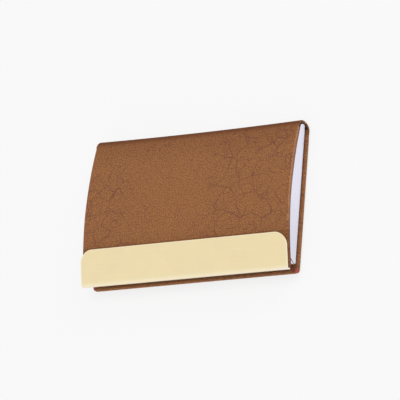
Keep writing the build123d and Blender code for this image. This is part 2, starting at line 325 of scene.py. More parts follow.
def select(kind, rule):
    """Selects in edit mode what a rule on the centre and the item itself accepts."""
    bpy.context.tool_settings.mesh_select_mode = SELECT_MODES[kind]
    bpy.ops.mesh.select_all(action="DESELECT")
    mesh = bmesh.from_edit_mesh(bpy.context.object.data)
    if kind == "VERT":
        chosen = [v for v in mesh.verts if rule(v.co, v)]
    elif kind == "EDGE":
        chosen = [e for e in mesh.edges if rule((e.verts[0].co + e.verts[1].co) / 2, e)]
    else:
        chosen = [f for f in mesh.faces if rule(f.calc_center_median(), f)]
    for item in chosen:
        item.select_set(True)
    bmesh.update_edit_mesh(bpy.context.object.data)


def select_whole():
    bpy.ops.mesh.select_all(action="SELECT")


def runs_along(edge, axis):
    """True for an edge that runs along an axis."""
    run = edge.verts[1].co - edge.verts[0].co
    return abs(run[axis]) > 0.999 * run.length


def cut(point, normal, **clear):
    """Cuts all that is selected by a plane."""
    bpy.ops.mesh.bisect(plane_co=point, plane_no=normal, threshold=MERGE, **clear)


def cut_whole(point, normal, **clear):
    select_whole()
    cut(point, normal, **clear)


def cut_across(axis, places):
    """Cuts the whole mesh across an axis, at some places along it."""
    normal = Vector((0, 0, 0))
    normal[axis] = 1
    for place in places:
        cut_whole(normal * place, normal)


def cut_evenly(axis, start, stop, step):
    """Cuts the whole mesh across an axis, at an even spacing."""
    count = max(1, round((stop - start) / step))
    cut_across(axis, [start + (stop - start) * index / count for index in range(1, count)])


def bevel(width, segments):
    bpy.ops.mesh.bevel(offset=width, segments=segments, profile=0.5, affect="EDGES")


def fold_down(place, beyond, depth):
    """Adds a wall under a flat block, beyond (1) or before (-1) a place along it."""
    cut_whole((0, place, 0), (0, 1, 0))
    select("FACE", lambda at, item: (at.y - place) * beyond > 0 and item.normal.z < -0.9)
    bpy.ops.mesh.extrude_region_move(TRANSFORM_OT_translate={"value": (0, 0, -depth)})


def edit(on):
    bpy.ops.object.mode_set(mode="EDIT" if on else "OBJECT")


def choose(piece):
    """Selects one piece alone."""
    bpy.ops.object.select_all(action="DESELECT")
    piece.select_set(True)
    bpy.context.view_layer.objects.active = piece


def edit_whole(piece):
    """Opens a piece for editing, with all of it selected."""
    choose(piece)
    edit(True)
    select_whole()


def apply(piece, kind, **values):
    """Adds a modifier to a piece and applies it."""
    modifier = piece.modifiers.new(kind.title(), kind)
    for name, value in values.items():
        setattr(modifier, name, value)
    choose(piece)
    bpy.ops.object.modifier_apply(modifier=modifier.name)


def move_points(piece, rule):
    """Moves every point of a piece by a rule on its place."""
    for point in piece.data.vertices:
        point.co = rule(point.co)
    piece.data.update()


def from_mouth(piece):
    """Moves a piece drawn from the panel's lower edge to its place in the case."""
    move_points(piece, lambda at: at + Vector((0, MOUTH_Y, 0)))


def turn_outwards(piece):
    """Makes the faces of a closed piece point outwards."""
    edit_whole(piece)
    bpy.ops.mesh.remove_doubles(threshold=MERGE)
    bpy.ops.mesh.normals_make_consistent(inside=False)
    edit(False)


def smooth(piece, degrees=40):
    choose(piece)
    bpy.ops.object.shade_smooth_by_angle(angle=math.radians(degrees))


def mark(piece, name, rule):
    """Keeps a number or a place for each point, for the finish to read."""
    mesh = piece.data
    values = [rule(point.co) for point in mesh.vertices]
    is_place = isinstance(values[0], Vector)
    kind = "FLOAT_VECTOR" if is_place else "FLOAT"
    layer = mesh.attributes.get(name) or mesh.attributes.new(name, kind, "POINT")
    if is_place:
        layer.data.foreach_set("vector", [part for value in values for part in value])
    else:
        layer.data.foreach_set("value", values)


def dress(piece, material):
    """Gives a piece its material."""
    piece.data.materials.clear()
    piece.data.materials.append(material)


# ---- Covers -------------------------------------------------------------------------
def wrapped_board(name, width, long, thick, corner, edges, form):
    """Leather round a board, drawn flat: outer face down, free edge at the near end.

    The corner radius is that at the free edge, the edge radii are those of the outer
    and of the inner face.
    """
    half = width / 2
    piece = add_block(name, (-half, 0, 0), (half, long, thick))
    edit(True)
    select("EDGE", lambda at, item: runs_along(item, 2) and at.y < ON_PLANE)
    bevel(corner, 8)
    for roll, height in zip(edges, (0, thick)):
        select("EDGE", lambda at, item: not runs_along(item, 2)
               and at.y < long - ON_PLANE and abs(at.z - height) < ON_PLANE)
        bevel(roll, 6)
    inner, near, far = half - form.turn_in, form.turn_in, long - form.end_rim
    cut_across(0, (-inner, inner))
    cut_across(1, (near, far))
    select("FACE", lambda at, item: abs(at.x) < inner and near < at.y < far
           and at.z > thick - ON_PLANE)
    bpy.ops.mesh.delete(type="FACE")
    return piece


def mitre(side, width, form):
    """Apex of the mitre at one corner, the direction of its middle, and half its angle."""
    apex = Vector((side * (width / 2 - form.mitre_apex), form.mitre_apex, 0))
    spread = math.atan2(form.mitre_open / 2, form.mitre_apex * math.sqrt(2))
    return apex, math.atan2(-1, side), spread


def open_mitres(width, thick, form):
    """Cuts the wedge out of each corner where two turn-ins meet."""
    reach = form.turn_in + 2 * MM
    cut_across(0, (reach - width / 2, width / 2 - reach))
    cut_across(1, (reach,))
    for side in (-1, 1):
        apex, middle, spread = mitre(side, width, form)

        def in_corner(at, item):
            return abs(at.x) > width / 2 - reach and at.x * side > 0 and (
                at.y < reach and at.z > thick * 0.15)

        def in_wedge(at, item):
            away = at - apex
            if not in_corner(at, item) or away.xy.length < MERGE:
                return False
            turned = math.atan2(away.y, away.x) - middle
            turned = (turned + math.pi) % (2 * math.pi) - math.pi
            return abs(turned) < spread

        for turn in (-spread, spread):
            across = middle + turn + math.pi / 2
            select("FACE", in_corner)
            cut(apex, (math.cos(across), math.sin(across), 0))
        select("FACE", in_wedge)
        bpy.ops.mesh.delete(type="FACE")


def rubbed(inwards):
    """How rubbed leather is at a distance in from its edge, and how much painted highlight it
    gets there.
    """
    return max(0.0, 1 - inwards / RUB_AND_HIGHLIGHT_WIDTH)


def edge_wear_and_highlight(at, width, thick):
    """How rubbed a point of a cover is, with its painted highlight: most on the rolled edges,
    least inside.
    """
    outer = 1 - min(max(at.z / thick, 0), 1)
    return rubbed(min(width / 2 - abs(at.x), max(at.y, 0))) * (0.4 + 0.6 * outer)


class CARD_OT_board_corners(bpy.types.Operator):
    """Corners of the dyed back board, which swell up into the open mitres"""
    bl_idname = "card.board_corners"
    bl_label = "Board corners"

    def execute(self, context):
        form = context.scene.card_holder
        cover = form.cover
        sink, half = cover.mitre_sink, CASE_WIDTH / 2
        for side, name in ((-1, "left"), (1, "right")):
            near, far = sorted((side * (half - cover.mitre_apex), side * (half - sink)))
            piece = add_block(f"board_corner_{name}", (near, sink, sink),
                              (far, cover.mitre_apex, PANEL_T - sink))
            edit(True)
            select("EDGE", lambda at, item: runs_along(item, 2) and at.x * side > half - MM
                   and at.y < MM)
            bevel(cover.board_corner, 10)
            select("EDGE", lambda at, item: not runs_along(item, 2) and (
                at.x * side > half - 2 * MM or at.y < 2 * MM))
            bevel(cover.board_edge, 6)
            apex, middle, spread = mitre(side, CASE_WIDTH, cover)
            for sense in (-1, 1):
                across = middle + sense * (CORNER_FILL * spread + math.pi / 2)
                cut_whole(apex, (math.cos(across), math.sin(across), 0), use_fill=True,
                          clear_outer=True)
            edit(False)
            from_mouth(piece)
            turn_outwards(piece)
            smooth(piece)
            dress(piece, board_finish("red_board", form.finish.red))
            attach(piece, "back")
        return {"FINISHED"}


class CARD_OT_back_cover(bpy.types.Operator):
    """Leather round the back board, turned in and mitred at its lower corners"""
    bl_idname = "card.back_cover"
    bl_label = "Back cover"

    def execute(self, context):
        form = context.scene.card_holder
        cover, side = form.cover, Profile(form)
        half, depth = CASE_WIDTH / 2, form.case.panel_depth
        piece = wrapped_board("back_cover", CASE_WIDTH, cover.panel_end, PANEL_T,
                              cover.panel_corner, (cover.panel_edge, cover.panel_edge), cover)
        open_mitres(CASE_WIDTH, PANEL_T, cover)
        cut_evenly(0, -half, half, 4 * cover.cell)

        # cuts close up toward the spine, where the panel draws in and then curves
        for start, stop, step in ((0, depth - 8 * MM, 4 * cover.cell),
                                  (depth - 9 * MM, depth, MM),
                                  (depth - 0.3 * MM, cover.panel_end, 0.3 * MM)):
            cut_evenly(1, start, stop, step)
        edit(False)
        apply(piece, "SOLIDIFY", thickness=cover.leather, offset=-1.0)

        def lift(at):
            """Draws the sides in, and rounds the outer face up inside the spine's leather."""
            past = at.y - depth
            across = at.x * (1 - cover.panel_taper * ease(past, -3 * MM, 0) / half)
            rise = 0
            if past > 0:
                rise = side.spine_radius - math.sqrt(
                    max((side.spine_radius - INSIDE) ** 2 - past**2, 0))
            return Vector((across, at.y, at.z + rise * (1 - at.z / PANEL_T)))

        move_points(piece, lift)
        long = depth + side.half_spine
        mark(piece, "grain_place", lambda at: Vector((at.x, at.y - long, at.z)))
        # rubbed edges, with their painted highlight
        mark(piece, "edge_wear_and_highlight", lambda at: edge_wear_and_highlight(at, CASE_WIDTH, PANEL_T))
        from_mouth(piece)
        smooth(piece)
        dress(piece, leather_finish(form.finish))
        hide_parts("back_leather")
        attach(piece, "back")
        return {"FINISHED"}


class CARD_OT_flap_cover(bpy.types.Operator):
    """Leather round the flap's board, bent over the arch"""
    bl_idname = "card.flap_cover"
    bl_label = "Flap cover"

    def execute(self, context):
        form = context.scene.card_holder
        cover, side = form.cover, Profile(form)
        width, long = cover.flap_width, side.flap_length
        piece = wrapped_board("flap_cover", width, long, cover.flap_t, cover.flap_corner,
                              (cover.flap_edge, cover.flap_inner_edge), cover)
        cut_evenly(0, -width / 2, width / 2, cover.cell)
        cut_evenly(1, 0, long, cover.cell)
        edit(False)
        apply(piece, "SOLIDIFY", thickness=cover.leather, offset=-1.0)

        # the plate guards the first stretch of the edges, which get less rubbing and less
        # painted highlight there
        mark(piece, "edge_wear_and_highlight", lambda at: edge_wear_and_highlight(at, width, cover.flap_t)
             * (0.45 + 0.55 * ease(at.y, 15 * MM, 20 * MM)))
        mark(piece, "grain_place", lambda at: Vector(
            (at.x, long - at.y + side.half_spine, at.z)))
        move_points(piece, side.on_bowed_flap)
        edit_whole(piece)
        bpy.ops.mesh.flip_normals()
        edit(False)
        smooth(piece)
        dress(piece, leather_finish(form.finish))
        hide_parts("flap_leather")
        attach(piece, "flap")
        return {"FINISHED"}


# ---- Spine --------------------------------------------------------------------------
def spine_strip(name, side, steps, start, stop, outer, inner, rolls):
    """A strip of the spine's curve, spun between two turns and two radii."""
    half = side.spine_width / 2
    low, high = side.spine_radius - outer, side.spine_radius - inner
    piece = add_block(name, (-half, side.spine.y, low), (half, side.spine.y + MM, high))
    edit(True)
    select("FACE", lambda at, item: item.normal.y < 0.99)
    bpy.ops.mesh.delete(type="FACE")
    select_whole()
    bpy.ops.transform.translate(value=(0, -MM, 0))
    for roll, height in zip(rolls, (low, high)):
        select("VERT", lambda at, item: abs(at.z - height) < ON_PLANE
               and abs(abs(at.x) - half) < ON_PLANE)
        bpy.ops.mesh.bevel(offset=roll, segments=5, affect="VERTICES")
    cut_evenly(0, -half, half, BEND_CELL)
    select_whole()
    bpy.ops.mesh.spin(steps=steps, angle=stop - start, center=side.spine, axis=(-1, 0, 0))
    edit(False)
    turn = Matrix.Rotation(start, 4, "X")
    move_points(piece, lambda at: turn @ (at - side.spine) + side.spine)
    turn_outwards(piece)
    return piece


class CARD_OT_spine(bpy.types.Operator):
    """Leather and lining of the spine, in two strips that meet at its middle"""
    bl_idname = "card.spine"
    bl_label = "Spine"

    def execute(self, context):
        form = context.scene.card_holder
        side, soft = Profile(form), form.spine
        bore = side.spine_radius - soft.leather
        top = side.spine_turn / 2
        layers = (("leather", side.spine_radius, bore, (soft.start_roll, INNER_ROLL),
                   sharpened, leather_finish(form.finish)),
                  ("lining", bore, bore - soft.lining, (CLOTH_ROLL, CLOTH_ROLL),
                   trimmed, cloth_finish(form.finish)))
        strips = (("lower", 0, top, "back", "spine"), ("upper", top, 2 * top, "spine", "flap"))
        for layer, outer, inner, rolls, shaped, finish in layers:
            for part, start, stop, first, second in strips:
                piece = spine_strip(f"spine_{layer}_{part}", side, soft.steps, start, stop,
                                    outer, inner, rolls)
                mark(piece, "grain_place", lambda at: unrolled(at, side))
                # rubbed ends of the spine, with their painted highlight
                mark(piece, "edge_wear_and_highlight", lambda at: 0.6 * rubbed(
                    side.spine_width / 2 - abs(at.x)))
                move_points(piece, lambda at: side.bow(widened(shaped(at, side, soft), side)))
                smooth(piece)
                dress(piece, finish)
                if (part, layer) == ("lower", "leather"):
                    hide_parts("spine_leather")
                if (part, layer) == ("lower", "lining"):
                    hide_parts("spine_lining")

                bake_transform(piece)
        return {"FINISHED"}


def spine_degrees(at, side):
    """How far round the spine a point is, in degrees from the back panel."""
    return math.degrees(math.atan2(at.y - side.spine.y, side.spine.z - at.z))


def sharpened(at, side, soft):
    """Shrinks the spine's rolled outer edge from its start to the rest of its curve."""
    away = Vector((0, at.y - side.spine.y, at.z - side.spine.z))
    depth = side.spine_radius - away.length
    inwards = side.spine_width / 2 - abs(at.x)
    if inwards > soft.start_roll + ON_PLANE or depth > soft.start_roll + ON_PLANE:
        return at
    share_left = 1 + (soft.end_roll / soft.start_roll - 1) * ease(
        spine_degrees(at, side), 5, 40)
    away *= (side.spine_radius - depth * share_left) / away.length
    return Vector((math.copysign(side.spine_width / 2 - inwards * share_left, at.x),
                   side.spine.y + away.y, side.spine.z + away.z))


def trimmed(at, side, soft):
    """Draws the lining in from the spine's ends, least near the top of the curve."""
    turn = spine_degrees(at, side)
    bare = soft.margin + 0.45 * MM * (1 - ease(turn, 30, 75)) + MM * ease(turn, 105, 145)
    return Vector((at.x * (1 - 2 * bare / side.spine_width), at.y, at.z))


def widened(at, side):
    """Widens the start of the spine to the panel's sides."""
    turn = spine_degrees(at, side)
    wider = (1 - ease(turn, 25, 95)) * (CASE_WIDTH / side.spine_width - 1)
    wider -= 2 * side.panel_taper / side.spine_width * (1 - ease(turn, 0, 35))
    return Vector((at.x * (1 + wider), at.y, at.z))


def unrolled(at, side):
    """Place of a point of the spine on its leather drawn flat, from the middle of it."""
    away = at - side.spine
    turn = math.atan2(away.y, -away.z)
    depth = side.spine_radius - math.hypot(away.y, away.z)
    return Vector((at.x, turn * side.spine_radius - side.half_spine, depth))


# ---- Linings ------------------------------------------------------------------------
def finish_lining(piece, finish):
    """Softens a flat lining's edges and makes it cloth."""
    apply(piece, "BEVEL", width=CLOTH_EDGE, segments=3, limit_method="ANGLE")
    smooth(piece)
    dress(piece, cloth_finish(finish))


class CARD_OT_linings(bpy.types.Operator):
    """Cloth over both boards, down their ends at the spine"""
    bl_idname = "card.linings"
    bl_label = "Linings"

    def execute(self, context):
        form = context.scene.card_holder
        side, cloth = Profile(form), form.spine.lining
        bare = form.cover.lining_margin
        low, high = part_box("back_lining")
        end = form.cover.panel_end
        piece = add_block("back_lining_cloth", (low.x, low.y - MOUTH_Y, PANEL_T),
                          (high.x, end + cloth, PANEL_T + cloth))
        bore = side.spine_radius - form.spine.leather
        edit(True)
        fold_down(end, 1, PANEL_T - side.spine_radius + math.sqrt(
            bore**2 - (end - form.case.panel_depth) ** 2))
        edit(False)
        from_mouth(piece)
        finish_lining(piece, form.finish)
        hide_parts("back_lining")
        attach(piece, "back")

        thick, long = form.cover.flap_t, side.flap_length
        half = form.cover.flap_width / 2 - bare
        piece = add_block("flap_lining_cloth", (-half, bare, thick),
                          (half, long + cloth, thick + cloth))
        edit(True)
        fold_down(long, 1, thick - form.spine.leather)
        cut_evenly(0, -half, half, BEND_CELL)
        cut_evenly(1, bare, long, BEND_CELL / 2)
        edit(False)
        move_points(piece, side.on_bowed_flap)
        turn_outwards(piece)
        finish_lining(piece, form.finish)
        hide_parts("flap_lining")
        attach(piece, "flap")
        return {"FINISHED"}


# ---- Metal --------------------------------------------------------------------------
class CARD_OT_closure_plate(bpy.types.Operator):
    """Gilt plate bent over the flap's free edge"""
    bl_idname = "card.closure_plate"
    bl_label = "Closure plate"

    def execute(self, context):
        form = context.scene.card_holder
        plate, side = form.plate, Profile(form)
        half = CASE_WIDTH / 2
        piece = add_block("gilt_plate", (-half, 0, 0), (half, plate.height, plate.metal))

        edit(True)
        fold_down(plate.metal, -1, plate.wall - plate.metal)
        select("EDGE", lambda at, item: runs_along(item, 0) and at.y < ON_PLANE
               and at.z > plate.metal - ON_PLANE)
        bevel(plate.bend, 10)
        select("EDGE", lambda at, item: runs_along(item, 2)
               and at.y > plate.height - ON_PLANE)
        bevel(plate.corner, 20)
        select("EDGE", lambda at, item: runs_along(item, 1)
               and at.z < plate.metal - plate.wall + ON_PLANE)
        bevel(plate.wall_corner, 6)
        cut_evenly(0, -half, half, BEND_CELL)
        cut_across(1, (plate.height - plate.corner,))
        edit(False)
        turn_outwards(piece)
        apply(piece, "BEVEL", width=plate.edge, segments=4, limit_method="ANGLE",
              angle_limit=math.radians(35), harden_normals=True)
        mark(piece, "plate_place", Vector)
        move_points(piece, lambda at: side.on_plate(
            at + Vector((0, -side.plate_below, plate.gap))))
        smooth(piece)
        dress(piece, gilt_finish(form.finish, plate))
        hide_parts("closure_plate")
        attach(piece, "flap")
        return {"FINISHED"}


class CARD_OT_tray(bpy.types.Operator):
    """Pressed steel tray, with its surfaces smoothed and its cut edges softened"""
    bl_idname = "card.tray"
    bl_label = "Card tray"

    def execute(self, context):
        form = context.scene.card_holder
        tray, nose = form.tray, MOUTH_Y + form.tray.nose
        # painted shade darkens the steel toward the mouth and inside the tray
        finish = metal_finish("bright_steel", form.finish.steel, (1, 0.02, 1),
                              mouth_shade=0.92, inside=0.7)

        def spring(at):
            """Springs the side walls out, and keeps the tray back from the mouth."""
            out = tray.spread * ease(abs(at.x), WALLS_FROM, WALLS_FULL)
            return Vector((at.x + math.copysign(out, at.x), max(at.y, nose), at.z))

        for node in ("tray_base", "tray_front"):
            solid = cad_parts[node]
            piece = bpy.data.objects.new(node + "_steel", solid.data.copy())
            context.scene.collection.objects.link(piece)
            edit_whole(piece)
            bpy.ops.mesh.remove_doubles(threshold=2 * MERGE)
            bpy.ops.mesh.dissolve_limited(angle_limit=math.radians(0.5))
            if node == "tray_base":
                trim_walls(tray)
            edit(False)
            move_points(piece, spring)
            apply(piece, "BEVEL", width=tray.edge, segments=3, limit_method="ANGLE",
                  angle_limit=math.radians(50))
            smooth(piece, 30)
            dress(piece, finish)
            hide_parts(node)
            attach(piece, "back")
        return {"FINISHED"}


def trim_walls(tray):
    """Cuts the side walls back along the seam, and rounds their lower front corners."""
    foot = Vector((0, MOUTH_Y + tray.end, tray.foot))
    out = Vector((0, -math.sin(tray.seam_lean), math.cos(tray.seam_lean)))
    cut_whole(foot - out * tray.seam_gap, out, use_fill=True, clear_outer=True)
    centre = foot + Vector((0, tray.seam_gap + tray.corner, 0))
    for degrees in (12, 30, 48, 66):
        turn = math.radians(degrees)
        out = Vector((0, -math.cos(turn), -math.sin(turn)))
        cut_whole(centre + out * tray.corner, out, use_fill=True, clear_outer=True)


class CARD_OT_hidden_parts(bpy.types.Operator):
    """Finishes of the boards, the tape and the magnets"""
    bl_idname = "card.hidden_parts"
    bl_label = "Boards, tape and magnets"

    def execute(self, context):
        finish = context.scene.card_holder.finish
        nickel = metal_finish("nickel_plate", finish.nickel, (1, 1, 1))
        for node, material, slot in (
                ("back_board", board_finish("red_board", finish.red), "red_board"),
                ("flap_board", board_finish("grey_board", finish.grey), "flap_board"),
                ("tray_tape", board_finish("tape_film", finish.tape, 3 * MM), "tape"),
                ("magnet_left", nickel, "magnet"),
                ("magnet_right", nickel, "magnet")):
            dress(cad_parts[node], material)
        return {"FINISHED"}


# ---- Node helpers -------------------------------------------------------------------
def add_node(tree, kind, inputs=None, **settings):
    """Adds a node with its settings, and sets its inputs or links them to outputs."""
    node = tree.nodes.new("ShaderNode" + kind)
    for name, value in settings.items():
        setattr(node, name, value)
    for name, value in (inputs or {}).items():
        if isinstance(value, bpy.types.NodeSocket):
            tree.links.new(value, node.inputs[name])
        else:
            node.inputs[name].default_value = value
    return node


def calculate(tree, operation, *values, clamp=False):
    """Output of a Math node on one to three values."""
    return add_node(tree, "Math", dict(enumerate(values)), operation=operation,
                    use_clamp=clamp).outputs[0]


def ramp(tree, value, start, stop, low=0.0, high=1.0):
    """A value carried smoothly from one range to another, and held at its ends."""
    return add_node(tree, "MapRange", {"Value": value, "From Min": start, "From Max": stop,
                                       "To Min": low, "To Max": high},
                    interpolation_type="SMOOTHSTEP").outputs[0]


def blend(tree, part, first, second, kind="MIX"):
    """A colour between two colours, which are inputs 6 and 7 of a Mix node."""
    return add_node(tree, "Mix", {0: part, 6: first, 7: second}, data_type="RGBA",
                    blend_type=kind).outputs[2]


def shaded(tree, colour, factor):
    """A colour multiplied by a factor."""
    return blend(tree, 1.0, colour, factor, "MULTIPLY")


def opaque(colour, bright=1.0):
    """A colour of the settings, made brighter or darker, as a colour socket takes it."""
    return (*(bright * part for part in colour), 1)


def noise(tree, place, detail, roughness, scale=1.0):
    """Noise between 0 and 1, and its colour."""
    return add_node(tree, "TexNoise", {"Vector": place, "Scale": scale, "Detail": detail,
                                       "Roughness": roughness}).outputs


def combine(tree, operation, first, second):
    """Output of a Vector Math node on two places."""
    return add_node(tree, "VectorMath", {0: first, 1: second}, operation=operation).outputs[0]


def scaled(tree, place, factor):
    """A place multiplied by a number."""
    return add_node(tree, "VectorMath", {0: place, 3: factor}, operation="SCALE").outputs[0]


def in_units(tree, place, size):
    """A place measured in a size, which is a number or a socket."""
    if isinstance(size, bpy.types.NodeSocket):
        return scaled(tree, place, calculate(tree, "DIVIDE", 1.0, size))
    return scaled(tree, place, 1 / size)


def axes(tree, place):
    """The three numbers of a place."""
    return add_node(tree, "SeparateXYZ", {0: place}).outputs


def fresh_group(name, inputs, outputs):
    """A node group with named sockets, and its ends to fill if it is new."""
    group = bpy.data.node_groups.get(name)
    if group:
        return group, None, None
    group = bpy.data.node_groups.new(name, "ShaderNodeTree")
    for label, kind, default in inputs:
        socket = group.interface.new_socket(label, in_out="INPUT",
                                            socket_type="NodeSocket" + kind)
        if default is not None:
            socket.default_value = default
    for label, kind in outputs:
        group.interface.new_socket(label, in_out="OUTPUT", socket_type="NodeSocket" + kind)
    source = group.nodes.new("NodeGroupInput").outputs
    sink = group.nodes.new("NodeGroupOutput").inputs
    return group, source, sink


def use_group(tree, group, **inputs):
    """Places a group in a tree and returns its outputs."""
    named = {name.replace("_", " ").capitalize(): value for name, value in inputs.items()}
    return add_node(tree, "Group", named, node_tree=group).outputs


# ---- Effects that finishes share ----------------------------------------------------
def creases_group():
    """Crooked lines between cells, as in hide; their width comes and goes."""
    group, source, sink = fresh_group(
        "Creases", (("Place", "Vector", None), ("Cell", "Float", 0.003),
                    ("Width", "Float", 0.1), ("Bend", "Float", 0.5),
                    ("Fade", "Float", 1.0)),
        (("Line", "Float"), ("Height", "Float")))
    if source:
        place = in_units(group, source["Place"], source["Cell"])
        for scale, reach in ((0.28, 5.28), (1.0, 1.2)):      # a wide bend, then a narrow one
            shift = combine(group, "SUBTRACT", noise(group, place, 2, 0.5, scale)[1],
                            (0.5, 0.5, 0.5))
            amount = calculate(group, "MULTIPLY", source["Bend"], reach)
            place = combine(group, "ADD", place, scaled(group, shift, amount))
        cells = add_node(group, "TexVoronoi", {"Vector": place, "Scale": 1.0},
                         feature="DISTANCE_TO_EDGE")
        faint = ramp(group, noise(group, place, 1, 0.5, 0.6)[0], 0.32, 0.6, 0.9, 0.0)
        strength = calculate(group, "SUBTRACT", 1.0,
                             calculate(group, "MULTIPLY", faint, source["Fade"]))
        width = calculate(group, "MULTIPLY", source["Width"], strength)
        line = calculate(group, "DIVIDE", cells.outputs["Distance"],
                         calculate(group, "ADD", width, 0.002))
        line = ramp(group, line, 0.0, 1.0, 1.0, 0.0)
        group.links.new(calculate(group, "MULTIPLY", line, strength), sink["Line"])
        dome = ramp(group, cells.outputs["Distance"], 0.0, 0.35)
        group.links.new(dome, sink["Height"])
    return group


def mottle_group():
    """Slow unevenness of a colour or a sheen, round 1."""
    group, source, sink = fresh_group(
        "Mottle", (("Place", "Vector", None), ("Size", "Float", 0.01),
                   ("Contrast", "Float", 0.1)), (("Factor", "Float"),))
    if source:
        value = noise(group, in_units(group, source["Place"], source["Size"]), 4, 0.6)[0]
        value = calculate(group, "SUBTRACT", value, 0.5)
        swing = calculate(group, "MULTIPLY", source["Contrast"], 2.0)
        value = calculate(group, "MULTIPLY_ADD", value, swing, 1.0)
        group.links.new(value, sink["Factor"])
    return group


def rubbed_and_highlight_group():
    """Patchy wear where a piece is touched most, which also serves as a painted highlight on
    the rolled edges.
    """
    group, source, sink = fresh_group(
        "Rubbed edges", (("Place", "Vector", None), ("Wear", "Float", 0.0),
                         ("Patch", "Float", 0.001)), (("Mask", "Float"),))
    if source:
        patchy = noise(group, in_units(group, source["Place"], source["Patch"]), 3, 0.65)[0]
        value = calculate(group, "MULTIPLY_ADD", source["Wear"], 0.58, patchy)
        group.links.new(ramp(group, value, 0.77, 1.03), sink["Mask"])
    return group


def outline_group():
    """Distance in from the outline of a plate with two rounded upper corners."""
    group, source, sink = fresh_group(
        "Distance in", (("Place", "Vector", None), ("Half width", "Float", 0.05),
                        ("Height", "Float", 0.02), ("Corner", "Float", 0.005)),
        (("Distance", "Float"),))
    if source:
        across, up, _ = axes(group, source["Place"])
        past = []
        for value, end in ((calculate(group, "ABSOLUTE", across), source["Half width"]),
                           (up, source["Height"])):
            past.append(calculate(group, "ADD", calculate(group, "SUBTRACT", value, end),
                                  source["Corner"]))
        round_part = add_node(group, "CombineXYZ", {
            "X": calculate(group, "MAXIMUM", past[0], 0.0),
            "Y": calculate(group, "MAXIMUM", past[1], 0.0)}).outputs[0]
        rounded = add_node(group, "VectorMath", {0: round_part}, operation="LENGTH")
        inside = calculate(group, "MINIMUM", calculate(group, "MAXIMUM", *past), 0.0)
        out = calculate(group, "ADD", rounded.outputs["Value"], inside)
        group.links.new(calculate(group, "SUBTRACT", source["Corner"], out), sink["Distance"])
    return group


def rolled_group():
    """Fine lines along one direction, as rolling and brushing leave in sheet metal."""
    group, source, sink = fresh_group(
        "Rolled grain", (("Place", "Vector", None), ("Stretch", "Vector", (1, 1, 1)),
                         ("Pitch", "Float", 0.0003)), (("Value", "Float"),))
    if source:
        place = combine(group, "MULTIPLY", in_units(group, source["Place"], source["Pitch"]),
                        source["Stretch"])
        group.links.new(noise(group, place, 3, 0.7)[0], sink["Value"])
    return group


# ---- Finishes -----------------------------------------------------------------------
# Veins of the hide, large to small: cell as a share of the vein spacing, width of the
# line, and its strength where veins are few and where they gather
VEINS = ((0.9, 0.036, 0.14, 0.7), (0.45, 0.052, 0.1, 0.5), (0.24, 0.078, 0.03, 0.17))


def fresh_material(name, **plain):
    """An empty node material with its shader, or the one already made.

    The plain values are those that are the same all over the surface.
    """
    material = bpy.data.materials.get(name)
    if material:
        return material, None, None
    material = bpy.data.materials.new(name)
    material.use_nodes = True
    tree = material.node_tree
    tree.nodes.clear()
    shader = add_node(tree, "BsdfPrincipled", {
        key.replace("_", " "): value for key, value in plain.items()})
    add_node(tree, "OutputMaterial", {"Surface": shader.outputs["BSDF"]})
    return material, tree, shader


def feed(tree, shader, colour, roughness, height, depth):
    """Links the values that change over a surface to its shader."""
    tree.links.new(colour, shader.inputs["Base Color"])
    tree.links.new(roughness, shader.inputs["Roughness"])
    bump = add_node(tree, "Bump", {"Height": height, "Distance": depth, "Strength": 1.0})
    tree.links.new(bump.outputs["Normal"], shader.inputs["Normal"])


def object_place(tree):
    return add_node(tree, "TexCoord").outputs["Object"]


def kept_place(tree, name):
    """The place that each point of a piece keeps."""
    return add_node(tree, "Attribute", attribute_name=name).outputs["Vector"]


def mottled(tree, place, tint, size, contrast):
    """A tint made slowly uneven, and the factor that does it."""
    factor = use_group(tree, mottle_group(), place=place, size=size, contrast=contrast)[0]
    return shaded(tree, opaque(tint), factor), factor


def vein_lines(tree, place, across, along, spacing):
    """Veins that gather at the right side and at the flap's lower left corner."""
    drift = noise(tree, in_units(tree, place, 16 * MM), 2, 0.5)[0]
    right = ramp(tree, across, -4 * MM, 24 * MM)
    corner = calculate(tree, "MULTIPLY", ramp(tree, across, -42 * MM, -10 * MM, 1, 0),
                       ramp(tree, along, 8 * MM, 26 * MM))
    gather = ramp(tree, calculate(tree, "MULTIPLY_ADD", calculate(
        tree, "MAXIMUM", right, corner), 0.45, drift), 0.45, 0.95)
    slant = add_node(tree, "Mapping", {"Vector": place, "Rotation": (0, 0, -0.55),
                                       "Location": (11.3 * MM, 2.2 * MM, 0),
                                       "Scale": (1.35, 1, 1)}, vector_type="TEXTURE")
    veins = 0.0
    for cell, width, few, full in VEINS:
        lines = use_group(tree, creases_group(), place=slant.outputs[0],
                          cell=spacing * cell, width=width, bend=0.18, fade=0.5)["Line"]
        lines = calculate(tree, "MULTIPLY", lines, ramp(tree, gather, 0, 1, few, full))
        veins = calculate(tree, "MAXIMUM", veins, lines)
    return veins


